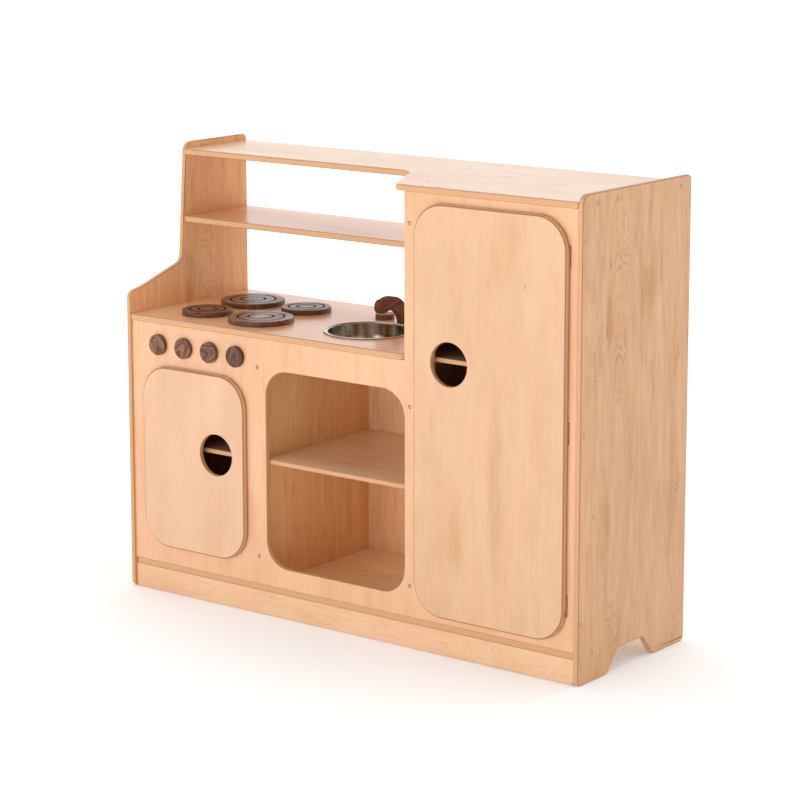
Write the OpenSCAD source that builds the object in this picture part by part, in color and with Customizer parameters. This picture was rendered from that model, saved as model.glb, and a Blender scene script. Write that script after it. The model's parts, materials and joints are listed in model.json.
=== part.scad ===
// Wooden play kitchen: plywood carcass, two overlay doors, four hob plates,
// four control knobs, a steel wash bowl, a wooden spout and a tap disc.
// Millimetres, Z up, the front faces -Y, the origin is the bottom centre of the box.

/* [Carcass] */
// Overall width over the side panels
body_w = 1200; // [900:10:1400]
// Depth of the side panels, front edge to back edge
body_d = 396; // [300:1:500]
// Height of the side panels
body_h = 981; // [700:1:1200]
// Thickness of the structural boards
board_t = 12; // [9:0.5:18]
// Thickness of the low shelves
shelf_t = 10; // [8:0.5:18]
// Thickness of the top board and of the open upper shelf
top_t = 13; // [8:0.5:18]
// Thickness of the worktop
work_t = 14; // [9:0.5:18]
// How far the front and back panels sit inside the side panel edges
inset = 5; // [0:0.5:10]

/* [Levels] */
// Top face of the worktop
worktop_z = 620; // [450:1:750]
// Top face of the top board
top_z = 967; // [600:0.5:1180]
// Top face of the open upper shelf
upper_z = 815.5; // [650:1:900]
// Height of the plinth board
plinth_h = 54; // [30:1:90]
// Middle height of the low shelves
low_shelf_z = 337.5; // [200:0.5:450]
// Middle height of the upper shelf inside the tall cupboard
high_shelf_z = 614.5; // [450:0.5:750]

/* [Bays] */
// Left edge of the tower front
tower_x = 766; // [500:1:900]
// Middle plane of the left divider
left_div_x = 372; // [250:1:500]
// Middle plane of the tower divider
tower_div_x = 779; // [500:1:900]
// Front edge of the open upper shelf and of the narrow top board
rear_y = 181; // [120:1:260]

/* [Openings and doors] */
// Door thickness
door_t = 10.5; // [9:0.5:18]
// Gap between the door backs and the front panel
door_gap = 2.5; // [0.5:0.1:3]
// Corner radius of the doors
door_r = 70; // [20:1:120]
// How far the doors lap over the edge of their openings
lap = 39; // [20:1:50]
// Diameter of the finger holes
finger_d = 91; // [50:1:120]
// Left edge, bottom, right edge and top of the small door
small_door = [50.5, 108, 342, 514];
// Left edge, bottom, right edge and top of the tall door
tall_door = [797.5, 82, 1168.5, 936];
// Left edge, bottom, right edge and top of the open niche
niche = [395, 110.5, 766, 541];
// Corner radius of the open niche
niche_r = 57; // [20:1:100]
// Rounding of the door faces
door_round = 5; // [1:0.5:6]

/* [Knobs and hob] */
// Control knob diameter
knob_d = 46; // [30:1:60]
// Control knob thickness
knob_t = 9; // [5:0.5:20]
// Centre of the first control knob
knob_x = 91.5; // [60:0.5:200]
// Spacing of the control knobs
knob_step = 74; // [60:0.5:100]
// Height of the control knobs
knob_z = 559.5; // [450:0.5:600]
// Radius of the two large hob plates
plate_big = 71.5; // [50:0.5:90]
// Radius of the two small hob plates
plate_small = 55.5; // [40:0.5:80]
// Thickness of the hob plates
plate_t = 11.5; // [6:0.5:20]
// Centre of the left hob plates
hob_x0 = 148.5; // [100:0.5:250]
// Centre of the right hob plates
hob_x1 = 303; // [200:1:400]
// Centre of the front hob plates
hob_y0 = 100; // [80:1:150]
// Centre of the back hob plates
hob_y1 = 254; // [200:1:320]

/* [Sink and tap] */
// Centre of the wash bowl across the worktop
bowl_x = 558; // [450:1:700]
// Centre of the wash bowl from the front edge
bowl_y = 152; // [120:0.5:220]
// Radius over the rolled rim of the wash bowl
bowl_r = 97; // [80:0.5:130]
// Depth of the wash bowl below the worktop
bowl_deep = 66; // [40:1:100]
// Thickness of the wooden spout
spout_t = 14; // [10:0.5:24]
// Diameter of the tap disc
tap_d = 42; // [30:1:60]
// Thickness of the tap disc
tap_t = 11; // [4:0.5:15]
// Centre of the tap disc across the worktop
tap_x = 495; // [450:1:700]
// Centre of the tap disc from the front edge
tap_y = 290; // [200:1:340]

/* [Hinges] */
// Height of one hinge
hinge_l = 40; // [30:1:60]
// Outer radius of the hinge knuckles
knuckle_r = 1.8; // [1.6:0.1:4]
// Radius of the hinge pins
pin_r = 0.9; // [0.8:0.1:2]
// Radial running clearance on the pins and spindles
run_fit = 0.06; // [0.02:0.01:0.1]
// Width of one hinge leaf
leaf_w = 22; // [14:1:30]
// Thickness of the hinge leaves
leaf_t = 1.2; // [0.8:0.1:2]

/* [Hidden] */

fine = 96;
wood = [0.93, 0.79, 0.62];
walnut = [0.36, 0.25, 0.19];
steel = [0.75, 0.76, 0.78];
in_l = board_t;
in_r = body_w - board_t;
face_y = inset;
inner_y = inset + board_t;
back_y = body_d - inset - board_t;
floor_z = plinth_h + board_t;
under_top = top_z - top_t;
under_work = worktop_z - work_t;
div_l0 = left_div_x - board_t / 2;
div_l1 = left_div_x + board_t / 2;
div_t0 = tower_div_x - board_t / 2;
div_t1 = tower_div_x + board_t / 2;
door_y0 = face_y - door_gap - door_t;
door_y1 = face_y - door_gap;
all_d = body_d - door_y0;
axis_y = face_y - door_gap / 2;
axis_out = -0.3;
small_axis = small_door[0] - axis_out;
tall_axis = tall_door[2] + axis_out;
small_hinges = [small_door[1] + 72, small_door[3] - 72];
tall_hinges = [tall_door[1] + 78, (tall_door[1] + tall_door[3]) / 2, tall_door[3] - 78];
knuckle_gap = 0.4;
mid_knuckle = hinge_l / 3;
sweep_gap = 0.4;
leaf_hole = [-12, 12];
finger_small = [small_door[2] - 79, low_shelf_z];
finger_tall = [tall_door[0] + 89.5, high_shelf_z - 1];
screw_head_r = 4.2;
screw_head_t = 2.2;
screw_r = 1.8;
screw_l = 27;
magnet_r = 5;
magnet_t = 4;
spindle_r = 2.5;
knob_gap = 0.5;

// Screw positions: X and Z on the front and back, Y and Z on the sides, X and Y on the top
front_at = [[left_div_x, 543], [left_div_x, 128], [tower_div_x, 889], [tower_div_x, 511], [tower_div_x, 133.5]];
edge_y = inset + board_t / 2;
pair_y = [50, 355];
right_at = concat(
  [for (z = [894, 509.5, 126, 40.5]) [edge_y, z]],
  [for (z = [top_z - top_t / 2, high_shelf_z, low_shelf_z, plinth_h + board_t / 2], y = pair_y) [y, z]]);
left_at = concat(
  [for (z = [509.5, 126, 40.5]) [edge_y, z]],
  [for (z = [worktop_z - work_t / 2, low_shelf_z, plinth_h + board_t / 2], y = pair_y) [y, z]],
  [for (z = [upper_z - top_t / 2, top_z - top_t / 2], y = [225, 355]) [y, z]]);
top_at = [[tower_div_x, 66], [tower_div_x, 372], [844, edge_y], [1099.5, edge_y]];

// ---- shared shapes ----

// Moves the carcass corner frame (x from the left face, y from the front edges) to the object frame
module place() {
  translate([-body_w / 2, -all_d / 2 - door_y0, 0]) children();
}

function unit(v) = v / norm(v);
function cross2(a, b) = a[0] * b[1] - a[1] * b[0];
function turn(p, i) = cross2(p[i] - prev(p, i), next(p, i) - p[i]);

function ctr(a, c, b, r) = c + unit(unit(a - c) + unit(b - c)) * r / sin(acos(unit(a - c) * unit(b - c)) / 2);
function tip(a, c, b, r) = c + unit(a - c) * r / tan(acos(unit(a - c) * unit(b - c)) / 2);
function prev(p, i) = p[(i + len(p) - 1) % len(p)];
function next(p, i) = p[(i + 1) % len(p)];

// Corner c cut straight across between the ends of its rounding, or left sharp where r is 0
function cut_corner(a, c, b, r) = r > 0 ? [tip(a, c, b, r), tip(b, c, a, r)] : [c];

// The sector of the rounding circle that faces corner c
module sector(a, c, b, r) {
  m = ctr(a, c, b, r);
  intersection() {
    translate(m) circle(r, $fn = fine);
    polygon([m, tip(a, c, b, r), c, tip(b, c, a, r)]);
  }
}

// Polygon p, counter-clockwise, with corner radii r: convex corners gain a sector, concave ones lose it
module rounded_poly(p, r) {
  n = len(p);
  difference() {
    union() {
      polygon([for (i = [0:n - 1]) each cut_corner(prev(p, i), p[i], next(p, i), r[i])]);
      for (i = [0:n - 1]) {
        if (r[i] > 0 && turn(p, i) > 0) sector(prev(p, i), p[i], next(p, i), r[i]);
      }
    }
    for (i = [0:n - 1]) {
      if (r[i] > 0 && turn(p, i) < 0) sector(prev(p, i), p[i], next(p, i), r[i]);
    }
  }
}

module rounded_rect(x0, y0, x1, y1, r) {
  rounded_poly([[x0, y0], [x1, y0], [x1, y1], [x0, y1]], [r, r, r, r]);
}

// Stands a drawing in X and Z up, with its front at y0 and thickness t
module upright(y0, t) {
  translate([0, y0 + t, 0]) rotate([90, 0, 0]) linear_extrude(height = t) children();
}

// Stands a drawing in Y and Z up, from x0 with thickness t
module sideways(x0, t) {
  translate([x0, 0, 0]) rotate([90, 0, 90]) linear_extrude(height = t) children();
}

module board(x0, x1, y0, y1, z0, z1) {
  translate([x0, y0, z0]) cube([x1 - x0, y1 - y0, z1 - z0]);
}

// Countersunk wood screw, head top at the origin, pointing down; grow widens it for its hole
module screw(grow) {
  difference() {
    union() {
      translate([0, 0, -screw_head_t]) cylinder(h = screw_head_t, r = screw_head_r + grow, $fn = 32);
      translate([0, 0, -screw_l]) cylinder(h = screw_l - screw_head_t / 2, r = screw_r + grow, $fn = 24);
    }
    if (grow == 0) translate([0, 0, -1.2]) cylinder(h = 2, r = 1.6, $fn = 6);
  }
}

module front_screws(grow) {
  for (p = front_at) translate([p[0], face_y, p[1]]) rotate([90, 0, 0]) screw(grow);
}

module back_screws(grow) {
  for (p = front_at) translate([p[0], back_y + board_t, p[1]]) rotate([-90, 0, 0]) screw(grow);
}

module right_screws(grow) {
  for (p = right_at) translate([body_w, p[0], p[1]]) rotate([0, 90, 0]) screw(grow);
}

module left_screws(grow) {
  for (p = left_at) translate([0, p[0], p[1]]) rotate([0, -90, 0]) screw(grow);
}

module top_screws(grow) {
  for (p = top_at) translate([p[0], p[1], top_z]) screw(grow);
}

// ---- carcass ----

arch = [[107.5, 0], [144, 46], [238, 46], [274.5, 0]];
arch_r = [25, 20, 20, 25];

module left_side_panel() {
  outline = concat([[0, 0]], arch,
    [[body_d, 0], [body_d, body_h], [rear_y + 9, body_h], [rear_y - 9, worktop_z + 96],
     [42, worktop_z + 55.5], [0, worktop_z + 48]]);
  color(wood) place() difference() {
    sideways(0, board_t) rounded_poly(outline, concat([12], arch_r, [12, 12, 22, 22, 250, 18]));
    left_screws(0.05);
  }
}

module right_side_panel() {
  outline = concat([[0, 0]], arch, [[body_d, 0], [body_d, body_h], [0, body_h]]);
  color(wood) place() difference() {
    sideways(in_r, board_t) rounded_poly(outline, concat([12], arch_r, [12, 12, 24]));
    right_screws(0.05);
  }
}

// The L shape shared by the front and the back panel
module l_shape(step_x) {
  polygon([[in_l, floor_z], [in_r, floor_z], [in_r, under_top], [step_x, under_top],
    [step_x, under_work], [in_l, under_work]]);
}

module opening(d) {
  rounded_rect(d[0] + lap, d[1] + lap, d[2] - lap, d[3] - lap, door_r - lap + 9);
}

module front_panel() {
  color(wood) place() difference() {
    upright(face_y, board_t) difference() {
      l_shape(tower_x);
      opening(small_door);
      opening(tall_door);
      rounded_poly([[niche[0], niche[1]], [niche[2], niche[1]], [niche[2], niche[3]], [niche[0], niche[3]]],
        [niche_r, niche_r, niche_r, niche_r]);
    }
    for (i = [0:3]) {
      translate([knob_x + i * knob_step, 0, knob_z]) rotate([-90, 0, 0])
        cylinder(h = 40, r = spindle_r + run_fit, $fn = 48);
    }
    frame_mortise(small_axis, small_hinges, 1);
    frame_mortise(tall_axis, tall_hinges, -1);
    magnet_at(small_magnet, face_y, 0.05);
    magnet_at(tall_magnet, face_y, 0.05);
    front_screws(0.05);
    right_screws(0.05);
    left_screws(0.05);
    top_screws(0.05);
  }
}

module back_panel() {
  color(wood) place() difference() {
    upright(back_y, board_t) l_shape(div_t0);
    back_screws(0.05);
  }
}

module left_divider() {
  color(wood) place() difference() {
    board(div_l0, div_l1, inner_y, back_y, floor_z, under_work);
    front_screws(0.05);
    back_screws(0.05);
  }
}

module tower_divider() {
  color(wood) place() difference() {
    board(div_t0, div_t1, inner_y, back_y, floor_z, under_top);
    front_screws(0.05);
    back_screws(0.05);
    top_screws(0.05);
  }
}

module bottom_board() {
  color(wood) place() difference() {
    translate([0, 0, plinth_h]) linear_extrude(height = board_t)
      rounded_poly([[in_l, face_y + 1], [in_r, face_y + 1], [in_r, back_y + board_t], [in_l, back_y + board_t]],
        [5, 5, 0, 0]);
    left_screws(0.05);
    right_screws(0.05);
  }
}

module plinth_board() {
  color(wood) place() difference() {
    upright(face_y, board_t)
      rounded_poly([[in_l, 0], [in_r, 0], [in_r, plinth_h], [in_l, plinth_h]], [9, 9, 0, 0]);
    left_screws(0.05);
    right_screws(0.05);
  }
}

module worktop() {
  color(wood) place() difference() {
    translate([0, 0, under_work]) linear_extrude(height = work_t) difference() {
      rounded_poly([[in_l, 0], [tower_x, 0], [tower_x, inner_y], [div_t0, inner_y], [div_t0, body_d], [in_l, body_d]],
        [0, 16, 0, 0, 0, 0]);
      translate([bowl_x, bowl_y]) circle(bowl_r - 7, $fn = fine);
      translate([tap_x, tap_y]) circle(spindle_r + run_fit, $fn = 48);
    }
    left_screws(0.05);
    hob_screws(0.05);
    spout_screws(0.05);
  }
}

module top_board() {
  color(wood) place() difference() {
    translate([0, 0, under_top]) linear_extrude(height = top_t)
      rounded_poly([[tower_x - 20.5, 0], [in_r, 0], [in_r, body_d], [in_l, body_d], [in_l, rear_y],
        [tower_x - 116, rear_y]], [22, 0, 0, 0, 0, 60]);
    left_screws(0.05);
    right_screws(0.05);
    top_screws(0.05);
  }
}

module upper_shelf() {
  color(wood) place() difference() {
    board(in_l, div_t0, rear_y, body_d, upper_z - top_t, upper_z);
    left_screws(0.05);
  }
}

module low_shelf(x0, x1, zc) {
  board(x0, x1, inner_y, back_y, zc - shelf_t / 2, zc + shelf_t / 2);
}

module cupboard_shelf() {
  color(wood) place() difference() {
    low_shelf(in_l, div_l0, low_shelf_z);
    left_screws(0.05);
  }
}

module niche_shelf() {
  color(wood) place() low_shelf(div_l1, div_t0, low_shelf_z);
}

module tower_shelf_lower() {
  color(wood) place() difference() {
    low_shelf(div_t1, in_r, low_shelf_z);
    right_screws(0.05);
  }
}

module tower_shelf_upper() {
  color(wood) place() difference() {
    low_shelf(div_t1, in_r, high_shelf_z);
    right_screws(0.05);
  }
}

module panel_screws() {
  color(steel) place() {
    front_screws(0);
    back_screws(0);
    right_screws(0);
    left_screws(0);
    top_screws(0);
  }
}

// ---- doors ----

small_magnet = [small_door[2] - lap / 2, (small_door[1] + small_door[3]) / 2];
tall_magnet = [tall_door[0] + lap / 2, (tall_door[1] + tall_door[3]) / 2];

// Disc sunk back from the plane y0
module magnet_at(p, y0, grow) {
  translate([p[0], y0, p[1]]) rotate([-90, 0, 0]) cylinder(h = magnet_t + grow, r = magnet_r + grow, $fn = 48);
}

// Door blank with rounded front edges: two prisms crossing and a turned disc at each corner
module door_blank(d) {
  r = door_round;
  y0 = door_y0;
  y1 = door_y1;
  translate([0, 0, d[1] + door_r]) linear_extrude(height = d[3] - d[1] - 2 * door_r)
    rounded_poly([[d[0], y0], [d[2], y0], [d[2], y1], [d[0], y1]], [r, r, 0, 0]);
  sideways(d[0] + door_r, d[2] - d[0] - 2 * door_r)
    rounded_poly([[y0, d[1]], [y1, d[1]], [y1, d[3]], [y0, d[3]]], [r, 0, 0, r]);
  for (x = [d[0] + door_r, d[2] - door_r], z = [d[1] + door_r, d[3] - door_r]) {
    translate([x, y1, z]) rotate([90, 0, 0]) rotate_extrude($fn = fine)
      rounded_poly([[0, 0], [door_r, 0], [door_r, door_t], [0, door_t]], [0, 0, r, 0]);
  }
}

// Room for the knuckles of one hinge in the board beside it
module knuckle_room(axis_x, z) {
  translate([axis_x, axis_y, z - hinge_l / 2 - 1.4]) cylinder(h = hinge_l + 2.8, r = knuckle_r + sweep_gap, $fn = 48);
}

// Leaf pocket and knuckle groove in the door (s points from the pin towards the opening)
module door_mortise(axis_x, zs, s) {
  for (z = zs) {
    x0 = min(axis_x, axis_x + s * leaf_w);
    board(x0, x0 + leaf_w, door_y1 - leaf_t, door_y1 + 1, z - hinge_l / 2, z + hinge_l / 2);
    knuckle_room(axis_x, z);
  }
}

module frame_mortise(axis_x, zs, s) {
  for (z = zs) {
    x0 = min(axis_x, axis_x + s * leaf_w);
    board(x0, x0 + leaf_w, face_y - 1, face_y + leaf_t, z - hinge_l / 2, z + hinge_l / 2);
    knuckle_room(axis_x, z);
    leaf_screw_set(axis_x, z, s, face_y, 1, 0.05);
  }
}

// Two small screws of one leaf; way is 1 into the frame and -1 into the door
module leaf_screw_set(axis_x, z, s, y0, way, grow) {
  for (dz = leaf_hole) {
    translate([axis_x + s * leaf_w * 0.62, y0, z + dz]) rotate([way * 90, 0, 0]) {
      translate([0, 0, -0.8]) cylinder(h = 0.8, r = 2 + grow, $fn = 24);
      translate([0, 0, -8]) cylinder(h = 7.6, r = 1 + grow, $fn = 24);
    }
  }
}

module knuckle(axis_x, z0, z1, bore) {
  difference() {
    translate([axis_x, axis_y, z0]) cylinder(h = z1 - z0, r = knuckle_r, $fn = 48);
    translate([axis_x, axis_y, z0 - 1]) cylinder(h = z1 - z0 + 2, r = bore, $fn = 48);
  }
}

// Leaf let into the door back, with the middle knuckle
module door_leaf(axis_x, z, s) {
  x0 = min(axis_x, axis_x + s * leaf_w);
  m = mid_knuckle / 2;
  difference() {
    board(x0, x0 + leaf_w, door_y1 - leaf_t, door_y1, z - hinge_l / 2, z + hinge_l / 2);
    for (e = [z - hinge_l / 2 - 1, z + m]) {
      translate([axis_x, axis_y, e]) cylinder(h = hinge_l / 2 - m + 1, r = knuckle_r + sweep_gap, $fn = 48);
    }
    translate([axis_x, axis_y, z - m - 1]) cylinder(h = 2 * m + 2, r = pin_r + run_fit, $fn = 48);
    leaf_screw_set(axis_x, z, s, door_y1, -1, 0.05);
  }
  knuckle(axis_x, z - m, z + m, pin_r + run_fit);
}

// Leaf let into the front panel, with the two outer knuckles
module frame_leaf(axis_x, z, s) {
  x0 = min(axis_x, axis_x + s * leaf_w);
  m = mid_knuckle / 2 + knuckle_gap;
  difference() {
    board(x0, x0 + leaf_w, face_y, face_y + leaf_t, z - hinge_l / 2, z + hinge_l / 2);
    translate([axis_x, axis_y, z - m]) cylinder(h = 2 * m, r = knuckle_r + sweep_gap, $fn = 48);
    translate([axis_x, axis_y, z - hinge_l]) cylinder(h = 2 * hinge_l, r = pin_r, $fn = 48);
    leaf_screw_set(axis_x, z, s, face_y, 1, 0.05);
  }
  knuckle(axis_x, z - hinge_l / 2, z - m, pin_r);
  knuckle(axis_x, z + m, z + hinge_l / 2, pin_r);
}

module hinge_pin(axis_x, z) {
  translate([axis_x, axis_y, z - hinge_l / 2]) cylinder(h = hinge_l, r = pin_r, $fn = 48);
  for (e = [z - hinge_l / 2 - 0.8, z + hinge_l / 2]) {
    translate([axis_x, axis_y, e]) cylinder(h = 0.8, r = knuckle_r - 0.4, $fn = 48);
  }
}

module door(d, axis_x, zs, s, finger, magnet) {
  color(wood) place() difference() {
    union() door_blank(d);
    translate([finger[0], door_y0 - 1, finger[1]]) rotate([-90, 0, 0]) cylinder(h = door_t + 2, d = finger_d, $fn = fine);
    door_mortise(axis_x, zs, s);
    for (z = zs) leaf_screw_set(axis_x, z, s, door_y1, -1, 0.05);
    magnet_at(magnet, door_y1 - magnet_t, 0.05);
  }
}

module small_door() {
  door(small_door, small_axis, small_hinges, 1, finger_small, small_magnet);
}

module tall_door() {
  door(tall_door, tall_axis, tall_hinges, -1, finger_tall, tall_magnet);
}

module small_door_leaves() {
  color(steel) place() for (z = small_hinges) door_leaf(small_axis, z, 1);
}

module tall_door_leaves() {
  color(steel) place() for (z = tall_hinges) door_leaf(tall_axis, z, -1);
}

module small_frame_leaves() {
  color(steel) place() for (z = small_hinges) frame_leaf(small_axis, z, 1);
}

module tall_frame_leaves() {
  color(steel) place() for (z = tall_hinges) frame_leaf(tall_axis, z, -1);
}

module small_door_leaf_screws() {
  color(steel) place() for (z = small_hinges) leaf_screw_set(small_axis, z, 1, door_y1, -1, 0);
}

module tall_door_leaf_screws() {
  color(steel) place() for (z = tall_hinges) leaf_screw_set(tall_axis, z, -1, door_y1, -1, 0);
}

module small_frame_leaf_screws() {
  color(steel) place() for (z = small_hinges) leaf_screw_set(small_axis, z, 1, face_y, 1, 0);
}

module tall_frame_leaf_screws() {
  color(steel) place() for (z = tall_hinges) leaf_screw_set(tall_axis, z, -1, face_y, 1, 0);
}

module small_hinge_pins() {
  color(steel) place() for (z = small_hinges) hinge_pin(small_axis, z);
}

module tall_hinge_pins() {
  color(steel) place() for (z = tall_hinges) hinge_pin(tall_axis, z);
}

module small_door_strike() {
  color(steel) place() magnet_at(small_magnet, door_y1 - magnet_t, 0);
}

module tall_door_strike() {
  color(steel) place() magnet_at(tall_magnet, door_y1 - magnet_t, 0);
}

module small_frame_magnet() {
  color(steel) place() magnet_at(small_magnet, face_y, 0);
}

module tall_frame_magnet() {
  color(steel) place() magnet_at(tall_magnet, face_y, 0);
}

// ---- knobs ----

// Turned disc on the plane z = 0 with softened edges and a blind hole from below
module disc(r, t, soft) {
  difference() {
    rotate_extrude($fn = fine) difference() {
      square([r, t]);
      difference() {
        translate([r - soft, t - soft]) square([soft + 1, soft + 1]);
        translate([r - soft, t - soft]) circle(soft, $fn = 32);
      }
    }
    translate([0, 0, -1]) cylinder(h = t * 0.6 + 1, r = spindle_r, $fn = 48);
  }
}

// Pan-head screw from behind: shank up into the disc, head below the board of thickness t
module spindle(reach, t) {
  translate([0, 0, -t - knob_gap]) cylinder(h = t + 2 * knob_gap + reach - knob_gap, r = spindle_r, $fn = 48);
  translate([0, 0, -t - knob_gap - 3]) cylinder(h = 3, r = 5.5, $fn = 48);
}

module knob_frame(i) {
  translate([knob_x + i * knob_step, face_y, knob_z]) rotate([90, 0, 0]) children();
}

module knob(i) {
  color(walnut) place() knob_frame(i) translate([0, 0, knob_gap]) disc(knob_d / 2, knob_t, 2);
}

module knob_screw(i) {
  color(steel) place() knob_frame(i) spindle(knob_gap + knob_t * 0.6, board_t);
}

module tap_disc() {
  color(walnut) place() translate([tap_x, tap_y, worktop_z + knob_gap]) disc(tap_d / 2, tap_t, 1.5);
}

module tap_screw() {
  color(steel) place() translate([tap_x, tap_y, worktop_z]) spindle(knob_gap + tap_t * 0.6, work_t);
}

// ---- hob ----

groove_w = 3.4;
groove_d = 2;

// Disc with two turned grooves, fixed from below
module burner(x, y, r, g1, g2) {
  color(walnut) place() difference() {
    translate([x, y, worktop_z]) rotate_extrude($fn = fine) difference() {
      square([r, plate_t]);
      difference() {
        translate([r - 2.5, plate_t - 2.5]) square([3.5, 3.5]);
        translate([r - 2.5, plate_t - 2.5]) circle(2.5, $fn = 32);
      }
      for (g = [g1, g2]) translate([g - groove_w / 2, plate_t - groove_d]) square([groove_w, groove_d + 1]);
    }
    hob_screws(0.05);
  }
}

hob = [[hob_x0, hob_y0], [hob_x0, hob_y1], [hob_x1, hob_y0], [hob_x1, hob_y1]];
up_screw_l = work_t + plate_t - 5.5;

// Wood screws driven up through the worktop
module up_screw(grow) {
  cylinder(h = screw_head_t, r = screw_head_r + grow, $fn = 32);
  translate([0, 0, screw_head_t / 2]) cylinder(h = up_screw_l - screw_head_t / 2 + grow, r = screw_r + grow, $fn = 24);
}

module hob_screws(grow) {
  for (p = hob) translate([p[0], p[1], under_work]) up_screw(grow);
}

module burner_front_left() {
  burner(hob_x0, hob_y0, plate_small, 39.5, 20);
}

module burner_back_left() {
  burner(hob_x0, hob_y1, plate_big, 51, 27.5);
}

module burner_front_right() {
  burner(hob_x1, hob_y0, plate_big, 51, 27.5);
}

module burner_back_right() {
  burner(hob_x1, hob_y1, plate_small, 39.5, 20);
}

module burner_screws() {
  color(steel) place() hob_screws(0);
}

// ---- sink and spout ----

// Half section of a cup with outer radius r, height h and bottom corner radius c
module cup_section(r, h, c) {
  rounded_poly([[0, 0], [r, 0], [r, h], [0, h]], [0, c, 0, 0]);
}

module sink_bowl() {
  wall = 1.2;
  bead = 1.8;
  neck = bowl_r - 8.5;
  color(steel) place() translate([bowl_x, bowl_y, worktop_z]) rotate_extrude($fn = fine) {
    difference() {
      translate([0, -bowl_deep]) cup_section(neck, bowl_deep + wall, 48);
      translate([0, wall - bowl_deep]) cup_section(neck - wall, bowl_deep + wall, 48 - wall);
    }
    translate([neck - wall, 0]) square([bowl_r - bead - neck + wall, wall]);
    translate([bowl_r - bead, bead]) circle(bead, $fn = 32);
  }
}

spout_y = 219.5;
spout_sink = 4;
spout_in = 40.5;
spout_out = 69.5;

module faucet() {
  color(walnut) place() difference() {
    sideways(bowl_x - spout_t / 2, spout_t) translate([spout_y, worktop_z - spout_sink]) {
      difference() {
        circle(spout_out, $fn = fine);
        circle(spout_in, $fn = fine);
        translate([-100, -200]) square([200, 200 + spout_sink]);
        polygon([[0, 0], [-100, 0], [-100, 208]]);
      }
      translate([-24.5, 51]) circle(15, $fn = fine);
    }
    spout_screws(0.05);
  }
}

module spout_screws(grow) {
  for (y = [spout_y + 47, spout_y + 62.5]) translate([bowl_x, y, under_work]) up_screw(grow);
}

module faucet_screws() {
  color(steel) place() spout_screws(0);
}

// ---- what is drawn ----

left_side_panel();
right_side_panel();
front_panel();
back_panel();
left_divider();
tower_divider();
bottom_board();
plinth_board();
worktop();
top_board();
upper_shelf();
cupboard_shelf();
niche_shelf();
tower_shelf_lower();
tower_shelf_upper();
panel_screws();
small_door();
small_door_leaves();
small_door_leaf_screws();
small_frame_leaves();
small_frame_leaf_screws();
small_hinge_pins();
small_door_strike();
small_frame_magnet();
tall_door();
tall_door_leaves();
tall_door_leaf_screws();
tall_frame_leaves();
tall_frame_leaf_screws();
tall_hinge_pins();
tall_door_strike();
tall_frame_magnet();
knob(0);  // knob_1
knob_screw(0);  // knob_1_screw
knob(1);  // knob_2
knob_screw(1);  // knob_2_screw
knob(2);  // knob_3
knob_screw(2);  // knob_3_screw
knob(3);  // knob_4
knob_screw(3);  // knob_4_screw
burner_front_left();
burner_back_left();
burner_front_right();
burner_back_right();
burner_screws();
sink_bowl();
faucet();
faucet_screws();
tap_disc();
tap_screw();
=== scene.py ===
import json
import math
import random

import bmesh
import bpy
from mathutils import Matrix, Vector

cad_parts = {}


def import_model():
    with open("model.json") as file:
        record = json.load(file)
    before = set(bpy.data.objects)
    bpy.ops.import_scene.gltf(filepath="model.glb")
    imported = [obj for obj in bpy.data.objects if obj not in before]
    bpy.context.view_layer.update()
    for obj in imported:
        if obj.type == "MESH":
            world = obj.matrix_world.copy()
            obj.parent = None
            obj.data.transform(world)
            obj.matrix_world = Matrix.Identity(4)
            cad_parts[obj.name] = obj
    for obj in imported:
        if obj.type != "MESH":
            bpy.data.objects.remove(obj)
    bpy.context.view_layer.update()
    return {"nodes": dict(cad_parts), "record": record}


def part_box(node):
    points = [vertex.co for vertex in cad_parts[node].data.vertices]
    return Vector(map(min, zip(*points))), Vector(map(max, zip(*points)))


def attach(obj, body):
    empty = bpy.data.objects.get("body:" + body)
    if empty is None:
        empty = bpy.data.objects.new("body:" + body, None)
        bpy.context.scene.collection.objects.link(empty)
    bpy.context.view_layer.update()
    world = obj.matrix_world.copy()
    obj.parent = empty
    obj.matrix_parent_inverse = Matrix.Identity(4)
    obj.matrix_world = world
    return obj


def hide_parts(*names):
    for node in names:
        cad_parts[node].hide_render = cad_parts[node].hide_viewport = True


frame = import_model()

MM = 0.001
WELD = 2e-6  # metres: corners closer than this are one corner

# ---------------------------------------------------------------- finishes (sRGB, 0 to 255)
VENEER_LIGHT = (236, 189, 147)
VENEER_PINK = (238, 185, 147)
VENEER_DARK = (220, 165, 119)
VENEER_LINE = (180, 113, 60)
VENEER_STAIN = (206, 141, 76)
EDGE_LIGHT = (224, 172, 126)
EDGE_DARK = (204, 150, 105)
# darker edge tone plus painted shade for the thin lines along eased edges; also the colour of the wear on
# top edges
EDGE_WEAR_AND_SHADE = (138, 86, 50)
GLUE_LINE = (140, 93, 62)
KNOT = (128, 82, 56)
WALNUT_LIGHT = (160, 112, 78)
WALNUT_DARK = (76, 46, 30)
WALNUT_PORE = (34, 19, 12)
STEEL = (196, 192, 184)
# dark wood-brown painted reflection for the inside of the bowl
STEEL_WOOD_REFLECTION = (150, 126, 96)
HEAD_STEEL = (240, 226, 206)
# painted shade in the screw recesses and sunk rings
PAINTED_RECESS_SHADE = (46, 34, 26)
BRONZE = (186, 138, 94)
NICKEL = (150, 148, 144)
FLOOR = (250, 250, 250)
FLOOR_TOOTH = (246, 246, 246)

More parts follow.
